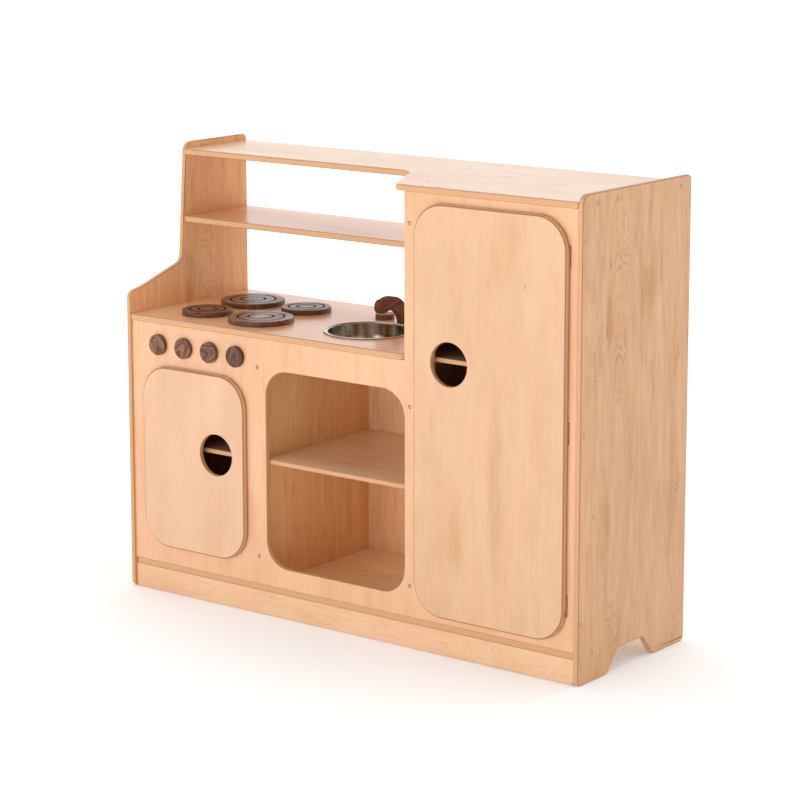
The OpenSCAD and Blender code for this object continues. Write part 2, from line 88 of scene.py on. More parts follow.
# ---------------------------------------------------------------- boards
# thin and grain: axes. ease: radius of the sanded edge in mm. The rest goes to veneer():
# pith: (distance across, depth) of the log's centre from the board's middle, in metres
# knots: (across, along, radius) in metres; patches: (across, along, half width, half length, amount)
BOARDS = {
    "left_side_panel": dict(thin="X", grain="Z", ease=2.6, seed=11, pith=(0.05, 0.016), figure=1.2,
                            rise=0.14, tint=(1.06, 1.04, 0.88), polish=0.35),
    "right_side_panel": dict(thin="X", grain="Z", ease=2.6, seed=12, pith=(-0.062, 0.014), figure=1.5,
                             rise=0.11, tint=(0.90, 0.88, 0.76), top_wear=0.45, polish=0.8,
                             knots=[(-0.097, 0.342, 0.006), (-0.108, 0.211, 0.007)],
                             patches=[(-0.115, -0.19, 0.030, 0.10, 0.85), (-0.098, 0.27, 0.022, 0.16, 0.65),
                                      (0.048, 0.28, 0.030, 0.16, 0.50), (0.13, -0.12, 0.04, 0.25, 0.35)]),
    "front_panel": dict(thin="Y", grain="Z", ease=1.4, seed=13, pith=(0.1, 0.09), figure=0.35),
    # tint on the back panel and the left divider is painted light: paler and cooler so that the shaded
    # inside of the niche and cupboards looks lit
    "back_panel": dict(thin="Y", grain="Z", ease=0.8, seed=14, pith=(-0.2, 0.03), tint=(1.16, 1.25, 1.27)),
    "left_divider": dict(thin="X", grain="Z", ease=0.6, seed=15, pith=(0.03, 0.03), tint=(1.20, 1.28, 1.10)),
    "tower_divider": dict(thin="X", grain="Z", ease=0.6, seed=16, pith=(0.0, 0.03), tint=(1.08, 1.12, 1.05)),
    # tint on the bottom board is painted light: paler and cooler so that the shaded niche floor looks lit
    "bottom_board": dict(thin="Z", grain="X", ease=1.6, seed=17, pith=(0.02, 0.05), tint=(1.24, 1.60, 1.88)),
    "plinth_board": dict(thin="Y", grain="X", ease=1.4, seed=18, pith=(0.0, 0.06), figure=0.4,
                         tint=(1.03, 1.10, 1.14)),
    "worktop": dict(thin="Z", grain="X", ease=2.6, seed=19, pith=(0.05, 0.06), figure=0.5),
    "top_board": dict(thin="Z", grain="X", ease=2.6, seed=20, pith=(0.04, 0.05), figure=0.6,
                      tint=(0.93, 0.97, 0.98),
                      knots=[(0.06, 0.13, 0.010), (0.02, 0.27, 0.012), (-0.01, 0.42, 0.012)]),
    "upper_shelf": dict(thin="Z", grain="X", ease=2.0, seed=21, pith=(0.1, 0.05), figure=0.5),
    "cupboard_shelf": dict(thin="Z", grain="X", ease=1.4, seed=22, pith=(0.0, 0.05)),
    # tint on the niche shelf is painted light: paler and cooler so that the shaded shelf looks lit
    "niche_shelf": dict(thin="Z", grain="X", ease=1.4, seed=23, pith=(0.0, 0.05), figure=0.7,
                        tint=(1.24, 1.58, 1.84)),
    "tower_shelf_lower": dict(thin="Z", grain="X", ease=1.4, seed=24, pith=(0.0, 0.05)),
    "tower_shelf_upper": dict(thin="Z", grain="X", ease=1.4, seed=25, pith=(0.05, 0.05)),
    "small_door": dict(thin="Y", grain="Z", ease=1.2, seed=26, pith=(-0.38, 0.10), figure=0.12,
                       tint=(0.93, 0.99, 1.05)),
    "tall_door": dict(thin="Y", grain="Z", ease=1.2, seed=27, pith=(0.39, 0.07), figure=0.22,
                      tint=(0.90, 0.945, 0.95),
                      knots=[(0.089, 0.282, 0.003)],
                      patches=[(0.022, -0.16, 0.030, 0.30, 0.42), (-0.080, -0.27, 0.032, 0.10, 0.44),
                               (0.128, 0.01, 0.036, 0.13, 0.26), (0.05, 0.33, 0.10, 0.10, 0.14)]),
}

# Walnut pieces: angle of the grain in the plane of the face in degrees, radii of turned grooves in mm
WALNUT = {
    "knob_1": dict(thin="Y", angle=118, seed=31, tint=(1.22, 1.10, 0.95)),
    "knob_2": dict(thin="Y", angle=50, seed=32, tint=(1.15, 1.05, 0.9)),
    "knob_3": dict(thin="Y", angle=15, seed=33, tint=(1.0, 0.95, 0.9)),
    "knob_4": dict(thin="Y", angle=88, seed=34, tint=(0.54, 0.46, 0.30)),
    "burner_front_left": dict(thin="Z", angle=12, seed=35, grooves=(39.5, 20.0), gloss=0.06,
                              tint=(0.95, 0.80, 0.60)),
    "burner_back_left": dict(thin="Z", angle=80, seed=36, grooves=(51.0, 27.5), gloss=0.12,
                             tint=(0.95, 0.84, 0.68)),
    "burner_front_right": dict(thin="Z", angle=95, seed=37, grooves=(51.0, 27.5), gloss=0.12,
                               tint=(0.95, 0.84, 0.68)),
    "burner_back_right": dict(thin="Z", angle=35, seed=38, grooves=(39.5, 20.0), gloss=0.12,
                              tint=(0.95, 0.84, 0.68)),
    "faucet": dict(thin="X", angle=25, seed=39, gloss=-0.08, even=0.8, polish=0.5, tint=(1.18, 0.88, 0.44)),
    "tap_disc": dict(thin="Z", angle=70, seed=40, tint=(1.1, 0.85, 0.75)),
}

# ---------------------------------------------------------------- small node toolkit


def srgb(c, k=1.0):
    """8-bit sRGB to linear RGBA, times k."""
    out = []
    for v in c:
        v = v / 255
        out.append(k * (v / 12.92 if v <= 0.04045 else ((v + 0.055) / 1.055) ** 2.4))
    return (*out, 1.0)


class Tree:
    """A material's node tree with short helpers; each helper returns an output socket."""

    def __init__(self, name):
        self.mat = bpy.data.materials.new(name)
        self.mat.use_nodes = True
        self.nt = self.mat.node_tree
        self.nt.nodes.clear()
        self.out = self.nt.nodes.new("ShaderNodeOutputMaterial")
        self.bsdf = self.nt.nodes.new("ShaderNodeBsdfPrincipled")
        self.nt.links.new(self.bsdf.outputs[0], self.out.inputs[0])

    def put(self, socket, value):
        if isinstance(value, bpy.types.NodeSocket):
            self.nt.links.new(value, socket)
        elif value is not None:
            socket.default_value = value

    def node(self, kind, inputs=None, **props):
        n = self.nt.nodes.new(kind)
        for k, v in props.items():
            setattr(n, k, v)
        for k, v in (inputs or {}).items():
            self.put(n.inputs[k], v)
        return n

    def math(self, op, a, b=None):
        return self.node("ShaderNodeMath", {0: a, 1: b}, operation=op).outputs[0]

    def hypot(self, a, b):
        return self.math("SQRT", self.math("ADD", self.math("MULTIPLY", a, a), self.math("MULTIPLY", b, b)))

    def vec(self, op, a, b=None):
        n = self.node("ShaderNodeVectorMath", {0: a, 1: b}, operation=op)
        return n.outputs["Value" if op == "LENGTH" else "Vector"]

    def split(self, v):
        n = self.node("ShaderNodeSeparateXYZ", {0: v})
        return n.outputs[0], n.outputs[1], n.outputs[2]

    def join(self, x, y, z):
        return self.node("ShaderNodeCombineXYZ", {0: x, 1: y, 2: z}).outputs[0]

    def noise(self, vector=None, scale=1.0, detail=2.0, rough=0.5, w=None, distortion=0.0):
        """Noise over a vector, or over the single number w."""
        n = self.node("ShaderNodeTexNoise", noise_dimensions="3D" if w is None else "1D")
        self.put(n.inputs["Vector" if w is None else "W"], vector if w is None else w)
        self.put(n.inputs["Scale"], scale)
        self.put(n.inputs["Detail"], detail)
        self.put(n.inputs["Roughness"], rough)
        self.put(n.inputs["Distortion"], distortion)
        return n.outputs["Fac"]

    def grain_noise(self, p, stretch, detail, rough=0.5, scale=1.0, distortion=0.0):
        """Noise over p, with its own scale per metre on each axis."""
        return self.noise(self.vec("MULTIPLY", p, stretch), scale, detail, rough, distortion=distortion)

    def span(self, value, a, b, lo=0.0, hi=1.0):
        """value from a..b mapped on lo..hi, with soft ends."""
        n = self.node("ShaderNodeMapRange", {0: value, 1: a, 2: b, 3: lo, 4: hi},
                      interpolation_type="SMOOTHSTEP", clamp=True)
        return n.outputs[0]

    def mix(self, fac, a, b):
        n = self.node("ShaderNodeMix", data_type="RGBA", blend_type="MIX", clamp_factor=True)
        self.put(n.inputs[0], fac)
        self.put(n.inputs[6], a)
        self.put(n.inputs[7], b)
        return n.outputs[2]

    def bump(self, height, strength, distance):
        n = self.node("ShaderNodeBump", {"Strength": strength, "Distance": distance, "Height": height})
        return n.outputs[0]

    def surface(self, **inputs):
        for k, v in inputs.items():
            self.put(self.bsdf.inputs[k.replace("_", " ")], v)
        return self.mat


AXES = "XYZ"
RING_RATE = 300.0  # growth rings per metre of trunk radius

# Noise scales per metre: across the grain, along it, through the board
WARP_SCALE = (5.0, 1.1, 5.0)
RIPPLE_SCALE = (30.0, 9.0, 30.0)
DRIFT_SCALE = (1.5, 2.6, 1.5)
MOTTLE_SCALE = (10.0, 3.0, 10.0)
CLOUD_SCALE = (24.0, 5.0, 24.0)
BLUSH_SCALE = (14.0, 4.0, 14.0)
FIBRE_SCALE = (900.0, 14.0, 900.0)
STREAK_SCALE = (260.0, 8.0, 260.0)
FLECK_SCALE = (26.0, 5.0, 26.0)
PORE_SCALE = (1400.0, 1400.0, 1400.0)

# How far the log leaves a true cylinder, in metres; drift is a share of the pith's depth
WARP_SHIFT = 0.07
RIPPLE_SHIFT = 0.020
RIPPLE_DEPTH = 0.026
DRIFT_SHARE = 2.4
KNOT_LIFT = 0.03
KNOT_STRETCH = 0.28  # width of a knot's mark over its length
# strength of the rim line: partly darker edge tone, partly painted shade
RIM_DARKNESS_AND_SHADE = 0.80
THICK_BOARD = 0.011  # metres: from here on a board has 9 plies, below it 7


def tinted(colour, tint):
    """sRGB colour as linear RGBA with each channel scaled."""
    r, g, b, a = srgb(colour)
    return (r * tint[0], g * tint[1], b * tint[2], a)


def veneer(name, low, high, thin, grain, seed, pith=(0.0, 0.05), figure=1.0, knots=(), tint=(1, 1, 1),
           rise=0.08, top_wear=0.0, polish=1.0, patches=()):
    """Lacquered plywood: sliced-log figure on the two faces, plies and glue lines on the edges."""
    t = Tree(name)
    rnd = random.Random(seed)
    coord = t.node("ShaderNodeTexCoord")
    axes = t.split(coord.outputs["Object"])
    normal = t.split(coord.outputs["Normal"])
    i_thin, i_grain = AXES.index(thin), AXES.index(grain)
    i_across = 3 - i_thin - i_grain
    u, v, w = axes[i_across], axes[i_grain], axes[i_thin]
    mid = (low + high) / 2
    thick = (high - low)[i_thin]
    ou, ov, ow = (rnd.uniform(-9, 9) for _ in range(3))

    # position inside the log: du across the pith, depth below it
    log = t.join(t.math("ADD", u, ou), t.math("ADD", v, ov), t.math("ADD", w, ow))
    warp = t.math("SUBTRACT", t.grain_noise(log, WARP_SCALE, 2.0), 0.5)
    ripple = t.math("SUBTRACT", t.grain_noise(log, RIPPLE_SCALE, 2.0), 0.5)
    drift = t.math("SUBTRACT", t.grain_noise(log, DRIFT_SCALE, 1.0), 0.5)
    du = t.math("ADD", t.math("SUBTRACT", u, mid[i_across] + pith[0]), t.math("MULTIPLY", warp, WARP_SHIFT))
    du = t.math("ADD", du, t.math("MULTIPLY", ripple, RIPPLE_SHIFT))
    depth = t.math("ADD", t.math("MULTIPLY", drift, DRIFT_SHARE * pith[1]), pith[1])
    depth = t.math("ADD", depth, t.math("MULTIPLY", ripple, RIPPLE_DEPTH))
    depth = t.math("ADD", depth, t.math("MULTIPLY", t.math("SUBTRACT", v, mid[i_grain]), rise))
    knot_dark = None
    for ku, kv, kr in knots:
        a = t.math("SUBTRACT", u, mid[i_across] + ku)
        b = t.math("MULTIPLY", t.math("SUBTRACT", v, mid[i_grain] + kv), KNOT_STRETCH)
        d = t.hypot(a, b)
        near = t.span(d, 0.0, kr * 2.2, 1.0, 0.0)
        depth = t.math("ADD", depth, t.math("MULTIPLY", near, KNOT_LIFT))
        core = t.span(d, kr * 0.1, kr * 0.7, 1.0, 0.0)
        knot_dark = core if knot_dark is None else t.math("MAXIMUM", knot_dark, core)

    # growth rings: broad bands, and thin late-wood lines that fade away from the pith
    year = t.math("ADD", t.hypot(du, depth), ow)
    rings = t.noise(scale=70.0, detail=2.0, rough=0.5, w=year)
    bands = t.span(rings, 0.35, 0.65)
    uneven = t.math("ADD", t.math("MULTIPLY", year, RING_RATE), t.math("MULTIPLY", rings, 3.0))
    phase = t.math("FRACT", uneven)
    lines = t.math("MULTIPLY", t.span(phase, 0.25, 0.88), t.span(phase, 0.92, 1.0, 1.0, 0.0))
    strong_years = t.noise(scale=130.0, detail=1.0, w=year)
    lines = t.math("MULTIPLY", lines, t.span(strong_years, 0.38, 0.66, 0.15, 1.0))
    lines = t.math("MULTIPLY", lines, t.span(t.math("ABSOLUTE", du), 0.02, 0.10, 1.0, 0.35))

    mottle = t.grain_noise(log, MOTTLE_SCALE, 4.0, 0.62)
    cloud = t.grain_noise(log, CLOUD_SCALE, 3.0, 0.66, distortion=0.6)
    blush = t.grain_noise(log, BLUSH_SCALE, 2.0, scale=1.3)
    fibre = t.grain_noise(log, FIBRE_SCALE, 2.0, 0.6)
    streak = t.grain_noise(log, STREAK_SCALE, 2.0, 0.6)
    cells = t.vec("MULTIPLY", log, FLECK_SCALE)
    fleck = t.node("ShaderNodeTexVoronoi", {"Vector": cells, "Scale": 1.0})
    seldom = t.split(fleck.outputs["Color"])[0]
    pin = t.math("MULTIPLY", t.span(fleck.outputs["Distance"], 0.02, 0.11, 1.0, 0.0),
                 t.span(seldom, 0.955, 0.965))

    light, dark, line = (tinted(c, tint) for c in (VENEER_LIGHT, VENEER_DARK, VENEER_LINE))
    face = t.mix(t.span(blush, 0.40, 0.66), light, tinted(VENEER_PINK, tint))
    face = t.mix(t.math("MULTIPLY", bands, 0.26 * figure), face, dark)
    face = t.mix(t.span(mottle, 0.38, 0.72, 0.0, 0.40 + 0.20 * figure), face, dark)
    face = t.mix(t.span(cloud, 0.50, 0.80, 0.0, 0.05 + 0.33 * figure), face, line)
    for pu, pv, ru, rv, amount in patches:
        a = t.math("MULTIPLY", t.math("SUBTRACT", u, mid[i_across] + pu), 1.0 / ru)
        b = t.math("MULTIPLY", t.math("SUBTRACT", v, mid[i_grain] + pv), 1.0 / rv)
        ragged = t.span(cloud, 0.36, 0.64, 0.25, 1.0)
        stain = t.math("MULTIPLY", t.span(t.hypot(a, b), 0.1, 1.0, amount, 0.0), ragged)
        face = t.mix(stain, face, tinted(VENEER_STAIN, tint))
    face = t.mix(t.math("MULTIPLY", lines, 0.32 * figure), face, line)
    face = t.mix(t.span(streak, 0.44, 0.80, 0.0, 0.04 + 0.21 * figure), face, line)
    face = t.mix(t.span(fibre, 0.42, 0.80, 0.0, 0.13), face, line)
    face = t.mix(t.math("MULTIPLY", pin, 0.55), face, tinted(KNOT, tint))
    if knot_dark is not None:
        face = t.mix(t.math("MULTIPLY", knot_dark, 0.60), face, tinted(KNOT, tint))

    # plies, counted from one face to the other
    plies = 9 if thick > THICK_BOARD else 7
    s = t.math("MULTIPLY", t.math("SUBTRACT", w, low[i_thin]), plies / thick)
    wave = t.math("ADD", s, t.math("MULTIPLY", t.math("SUBTRACT", t.noise(log, 60.0, 2.0), 0.5), 0.10))
    saw = t.math("FRACT", wave)
    odd = t.span(t.math("FRACT", t.math("MULTIPLY", wave, 0.5)), 0.48, 0.52)
    glue = t.math("MAXIMUM", t.span(saw, 0.0, 0.13, 1.0, 0.0), t.span(saw, 0.87, 1.0))
    pores = t.grain_noise(log, PORE_SCALE, 1.0)
    edge = t.mix(t.math("MULTIPLY", odd, 0.7), srgb(EDGE_LIGHT), srgb(EDGE_DARK))
    edge = t.mix(t.span(pores, 0.5, 0.8, 0.0, 0.30), edge, srgb(GLUE_LINE))
    edge = t.mix(t.math("MULTIPLY", glue, 0.35), edge, srgb(GLUE_LINE))
    if top_wear:
        edge = t.mix(t.span(normal[2], 0.4, 0.9, 0.0, top_wear), edge, srgb(EDGE_WEAR_AND_SHADE))

    # faces, edges, and the darker rim where the two meet; the rim is partly the sanded edge's own darker
    # tone and partly painted shade, a thin dark line that stands for the contact shadow in the gaps along
    # eased edges
    facing = t.math("ABSOLUTE", normal[i_thin])
    on_edge = t.span(facing, 0.80, 0.93, 1.0, 0.0)
    rim = t.math("MULTIPLY", t.span(facing, 0.45, 0.75), t.span(facing, 0.93, 0.99, 1.0, 0.0))
    colour = t.mix(on_edge, face, edge)
    colour = t.mix(t.math("MULTIPLY", rim, RIM_DARKNESS_AND_SHADE), colour, srgb(EDGE_WEAR_AND_SHADE))
    uneven_coat = t.math("ADD", t.math("MULTIPLY", mottle, 0.6), t.math("MULTIPLY", fibre, 0.4))
    rough = t.span(uneven_coat, 0.3, 0.8, 0.20, 0.30)
    rough = t.math("ADD", rough, t.math("MULTIPLY", on_edge, 0.14))
    height = t.math("ADD", t.math("MULTIPLY", fibre, 0.6), t.math("MULTIPLY", lines, 0.4))
    return t.surface(Base_Color=colour, Roughness=rough, Normal=t.bump(height, 0.12, 0.0004),
                     Specular_IOR_Level=0.5 * polish, Coat_Weight=0.18 * polish, Coat_Roughness=0.24)


GROOVE_HALF = (0.0020, 0.0027)  # metres from a groove's middle: darkest, plain again


def walnut(name, low, high, thin, angle, seed, grooves=(), gloss=0.0, even=0.0, polish=1.0, tint=(1, 1, 1)):
    """Oiled walnut: dark and light bands, pores, darker rim, turned grooves darkened nearly black."""
    t = Tree(name)
    rnd = random.Random(seed)
    coord = t.node("ShaderNodeTexCoord")
    mid = (low + high) / 2
    i_thin = AXES.index(thin)
    i_u, i_v = [i for i in range(3) if i != i_thin]
    centred = t.split(t.vec("SUBTRACT", coord.outputs["Object"], tuple(mid)))
    c, s = math.cos(math.radians(angle)), math.sin(math.radians(angle))
    along = t.math("ADD", t.math("MULTIPLY", centred[i_u], c), t.math("MULTIPLY", centred[i_v], s))
    across = t.math("SUBTRACT", t.math("MULTIPLY", centred[i_v], c), t.math("MULTIPLY", centred[i_u], s))
    o = [rnd.uniform(-9, 9) for _ in range(3)]
    p = t.join(t.math("ADD", across, o[0]), t.math("ADD", along, o[1]), t.math("ADD", centred[i_thin], o[2]))

    # growth rings around a pith 30 mm below, which rises slowly along the grain
    warp = t.math("SUBTRACT", t.grain_noise(p, (26.0, 9.0, 26.0), 2.0), 0.5)
    pu = t.math("ADD", across, t.math("MULTIPLY", warp, 0.014))
    pw = t.math("ADD", centred[i_thin], t.math("ADD", t.math("MULTIPLY", along, 0.10), 0.03))
    rings = t.noise(scale=380.0, detail=3.0, rough=0.65, w=t.math("ADD", t.hypot(pu, pw), o[0]))
    mottle = t.grain_noise(p, (60.0, 14.0, 60.0), 3.0, 0.6)
    fibre = t.grain_noise(p, (1300.0, 40.0, 1300.0), 2.0, 0.6)
    pore = t.grain_noise(p, (700.0, 60.0, 700.0), 1.0)

    light, dark, deep = (tinted(k, tint) for k in (WALNUT_LIGHT, WALNUT_DARK, WALNUT_PORE))
    colour = t.mix(t.span(rings, 0.36, 0.62, 0.5 * even, 1.0 - 0.3 * even), light, dark)
    colour = t.mix(t.span(mottle, 0.35, 0.75, 0.0, 0.5), colour, dark)
    colour = t.mix(t.span(fibre, 0.40, 0.85, 0.0, 0.5), colour, dark)
    colour = t.mix(t.span(pore, 0.58, 0.68, 0.0, 0.8), colour, deep)
    facing = t.math("ABSOLUTE", t.split(coord.outputs["Normal"])[i_thin])
    colour = t.mix(t.span(facing, 0.2, 0.95, 0.30, 0.0), colour, dark)
    radius = t.hypot(centred[i_u], centred[i_v])
    rough = t.span(mottle, 0.3, 0.7, 0.36 - gloss, 0.50 - gloss)
    for g in grooves:
        away = t.math("ABSOLUTE", t.math("SUBTRACT", radius, g * MM))
        cut = t.span(away, *GROOVE_HALF, 1.0, 0.0)
        colour = t.mix(t.math("MULTIPLY", cut, 0.95), colour, deep)
        rough = t.math("MAXIMUM", rough, t.math("MULTIPLY", cut, 0.9))
    height = t.math("SUBTRACT", t.math("MULTIPLY", fibre, 0.3), t.span(pore, 0.60, 0.70))
    return t.surface(Base_Color=colour, Roughness=rough, Normal=t.bump(height, 0.25, 0.0003),
                     Specular_IOR_Level=0.5 * polish)


METAL_MARKS = 1800.0  # fine marks per metre
METAL_WEAR = 0.25  # how far the cloudy places darken
RIM_DROP = (-0.008, -0.003)  # metres from the bowl's top: wall ends, bright rim begins
RIM_INSET = (0.0105, 0.0085)  # metres from the bowl's outside: the same, on the level part


def metal(name, colour, rough):
    """Metal with fine marks and a faint cloudiness."""
    t = Tree(name)
    p = t.node("ShaderNodeTexCoord").outputs["Object"]
    marks = t.noise(p, METAL_MARKS, 2.0, 0.6)
    cloud = t.noise(p, 28.0, 3.0, 0.6)
    base = t.mix(t.span(cloud, 0.3, 0.8, 0.0, METAL_WEAR), srgb(colour), srgb(colour, 0.6))
    scratch = t.math("MULTIPLY", t.math("SUBTRACT", marks, 0.5), rough * 0.35)
    r = t.math("ADD", t.span(cloud, 0.3, 0.7, rough * 0.8, rough * 1.25), scratch)
    return t.surface(Base_Color=base, Metallic=1.0, Roughness=r, Normal=t.bump(marks, 0.05, 0.0002))


def spun_bowl(low, high):
    """Bright rolled rim; the deeper polished inside is painted with broad soft bands running down the wall,
    dark wood-brown and extra bright, as painted reflections.
    """
    t = Tree("bowl_steel")
    coord = t.node("ShaderNodeTexCoord")
    mid_x, mid_y = (low[0] + high[0]) / 2, (low[1] + high[1]) / 2
    outside = high[0] - mid_x
    x, y, z = t.split(t.vec("SUBTRACT", coord.outputs["Object"], (mid_x, mid_y, high[2])))
    radius = t.hypot(x, y)
    around = t.vec("NORMALIZE", t.join(x, y, 0.0))
    level = t.span(radius, outside - RIM_INSET[0], outside - RIM_INSET[1])
    rim = t.math("MAXIMUM", t.span(z, *RIM_DROP), level)
    bands = t.grain_noise(around, (2.4, 2.4, 1.0), 2.0)
    turned = t.math("ADD", radius, t.math("MULTIPLY", z, 0.7))
    marks = t.noise(scale=1500.0, detail=2.0, rough=0.6, w=turned)
    # painted reflections: bands of dark wood-brown and of extra-bright steel stand for what the polished
    # inside mirrors
    inside = t.mix(t.span(bands, 0.42, 0.60), srgb(STEEL_WOOD_REFLECTION, 0.50), srgb(STEEL, 1.35))
    base = t.mix(rim, inside, srgb(STEEL, 1.1))
    scratch = t.math("MULTIPLY", t.math("SUBTRACT", marks, 0.5), 0.05)
    rough = t.math("ADD", t.span(bands, 0.3, 0.7, 0.14, 0.26), scratch)
    return t.surface(Base_Color=base, Metallic=1.0, Roughness=rough, Normal=t.bump(marks, 0.04, 0.0002))


# ---------------------------------------------------------------- mesh work


def cleaned_copy(node):
    """A bmesh of the CAD node with its split corners joined and flat faces made whole."""
    bm = bmesh.new()
    bm.from_mesh(frame["nodes"][node].data)
    bmesh.ops.remove_doubles(bm, verts=bm.verts, dist=WELD)
    bmesh.ops.dissolve_limit(bm, angle_limit=math.radians(0.4), verts=bm.verts, edges=bm.edges)
    return bm


def finished(bm, node, body, sharp=50):
    """Turns bm into a smooth-shaded piece that stands for the CAD node and rides on body."""
    name = node + "_piece"
    mesh = bpy.data.meshes.new(name)
    bm.to_mesh(mesh)
    bm.free()
    mesh.shade_smooth()
    mesh.set_sharp_from_angle(angle=math.radians(sharp))
    piece = bpy.data.objects.new(name, mesh)
    bpy.context.scene.collection.objects.link(piece)
    even = piece.modifiers.new("even_normals", "WEIGHTED_NORMAL")
    even.keep_sharp = True
    even.weight = 100
    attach(piece, body)
    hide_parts(node)
    return piece


SHORTEST_EDGE = 0.0009  # metres: shorter edges belong to screw holes
SHARP_FROM = math.radians(38)
ON_FACE = 2e-5  # metres


def outer_edge(e):
    """A sharp edge long enough not to belong to a screw hole."""
    if len(e.link_faces) != 2 or e.calc_length() < SHORTEST_EDGE:
        return False
    return e.calc_face_angle(0.0) > SHARP_FROM


def eased_board(node, body, spec):
    """Board with its face edges sanded to the stated radius; pockets inside it are left alone."""
    low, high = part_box(node)
    bm = cleaned_copy(node)
    ease = spec["ease"] * MM
    flat = AXES.index(spec["thin"])

    def on_face(p):
        return min(abs(p[flat] - low[flat]), abs(p[flat] - high[flat])) < ON_FACE

    edges = [e for e in bm.edges if outer_edge(e) and all(on_face(v.co) for v in e.verts)]
    bmesh.ops.bevel(bm, geom=edges, offset=ease, offset_type="OFFSET", segments=3, profile=0.5,
                    affect="EDGES", clamp_overlap=False, loop_slide=True)
    return finished(bm, node, body)


# Screw profile, radius and height above the board face in mm: recess, dome, sunk ring, shank, point
HEAD = [(1.15, -1.2), (1.15, -0.10), (1.35, -0.02), (2.20, -0.05), (2.70, -0.20), (2.95, -0.60),
        (2.96, -1.10), (4.18, -1.15), (4.18, -2.30), (1.80, -2.80), (1.80, -24.0), (0.30, -26.8)]
HEAD_STEPS = 24
RECESS_ROWS = (0, 5, 6)  # rows of faces painted dark as painted shade: the recess wall and the sunk ring
LOBED_BELOW = 1.2  # mm: profile points nearer the middle follow the six-lobed recess
END_SLAB = 0.001  # metres at a screw's end in which its width is measured
HEAD_WIDTH = 0.006  # metres: a wider end is the head


def screw_frames(node):
    """Head centre and outward direction of each screw in a CAD group of screws."""
    bm = bmesh.new()
    bm.from_mesh(frame["nodes"][node].data)
    bmesh.ops.remove_doubles(bm, verts=bm.verts, dist=WELD)
    todo = set(bm.verts)
    found = []
    while todo:
        stack = [todo.pop()]
        island = []
        while stack:
            v = stack.pop()
            island.append(v.co.copy())
            for e in v.link_edges:
                other = e.other_vert(v)
                if other in todo:
                    todo.remove(other)
                    stack.append(other)
        lo = Vector([min(p[i] for p in island) for i in range(3)])
        hi = Vector([max(p[i] for p in island) for i in range(3)])
        long_axis = max(range(3), key=lambda i: hi[i] - lo[i])
        side = (long_axis + 1) % 3
        near_top = [p[side] for p in island if p[long_axis] > hi[long_axis] - END_SLAB]
        head_up = max(near_top) - min(near_top) > HEAD_WIDTH
        centre = (lo + hi) / 2
        centre[long_axis] = hi[long_axis] if head_up else lo[long_axis]
        out = Vector((0, 0, 0))
        out[long_axis] = 1 if head_up else -1
        found.append((centre, out))
    bm.free()
    return sorted(found, key=lambda f: tuple(round(c, 4) for c in f[0]))


def screw_heads(node, body):
    """Turned screws with domed heads and six-lobed recesses at the places of the CAD screws; the recess and
    the sunk ring carry painted shade.
    """
    bm = bmesh.new()
    rnd = random.Random(7)
    for centre, out in screw_frames(node):
        turn = out.to_track_quat("Z", "Y")
        twist = rnd.uniform(0, math.tau)
        rows = []
        for r, z in HEAD:
            row = []
            for k in range(HEAD_STEPS):
                a = math.tau * k / HEAD_STEPS + twist
                lobe = 1.0 + (0.16 * math.cos(6 * (a - twist)) if r < LOBED_BELOW else 0.0)
                at = Vector((r * lobe * math.cos(a), r * lobe * math.sin(a), z)) * MM
                row.append(bm.verts.new(centre + turn @ at))
            rows.append(row)
        # material 1 is painted shade: the recess floor here and the shaded rows below
        bm.faces.new(rows[0]).material_index = 1
        bm.faces.new(list(reversed(rows[-1])))
        for i in range(len(rows) - 1):
            for k in range(HEAD_STEPS):
                n = (k + 1) % HEAD_STEPS
                f = bm.faces.new((rows[i][k], rows[i + 1][k], rows[i + 1][n], rows[i][n]))
                f.material_index = 1 if i in RECESS_ROWS else 0
    return finished(bm, node, body, sharp=40)


# ---------------------------------------------------------------- pieces and finishes

BODY = {n: b for b, names in frame["record"]["behaviour"]["bodies"].items() for n in names}

for board, spec in BOARDS.items():
    low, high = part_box(board)
    made = eased_board(board, BODY[board], spec)
    looks = {k: v for k, v in spec.items() if k != "ease"}
    made.data.materials.append(veneer(board + "_veneer", low, high, **looks))

for part, spec in WALNUT.items():
    low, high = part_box(part)
    o = frame["nodes"][part]
    o.data.materials.clear()
    o.data.materials.append(walnut(part + "_walnut", low, high, **spec))

low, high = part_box("sink_bowl")
bowl_mat = spun_bowl(low, high)
screw_mat = metal("screw_steel", STEEL, 0.28)
bronze_mat = metal("hinge_bronze", BRONZE, 0.38)
nickel_mat = metal("magnet_nickel", NICKEL, 0.22)
heads = screw_heads("panel_screws", BODY["panel_screws"])
heads.data.materials.append(metal("screw_head_steel", HEAD_STEEL, 0.45))
# dark painted shade for the recesses and sunk rings
heads.data.materials.append(metal("screw_recess_painted_shade", PAINTED_RECESS_SHADE, 0.5))
for n, o in frame["nodes"].items():
    if n in BOARDS or n in WALNUT or n == "panel_screws":
        continue
    m = screw_mat
    if n == "sink_bowl":
        m = bowl_mat
    elif any(word in n for word in ("leaves", "pins", "leaf_screws", "strike")):
        m = bronze_mat
    elif "magnet" in n:
        m = nickel_mat
    o.data.materials.clear()
    o.data.materials.append(m)

# ---------------------------------------------------------------- camera, light, floor

CAM_AT = Vector((3.40343, -4.41814, 1.68069))
CAM_AZ, CAM_EL, CAM_ROLL = 0.655, 0.184, -0.001
FOCAL, PICTURE, SENSOR = 2673.0, 800, 36  # pixels, pixels, mm
LENS = FOCAL / PICTURE * SENSOR
SHIFT_Y = -0.1
WORLD_FRONT, WORLD_BACK, WORLD_RIGHT = 0.22, 1.16, 0.76


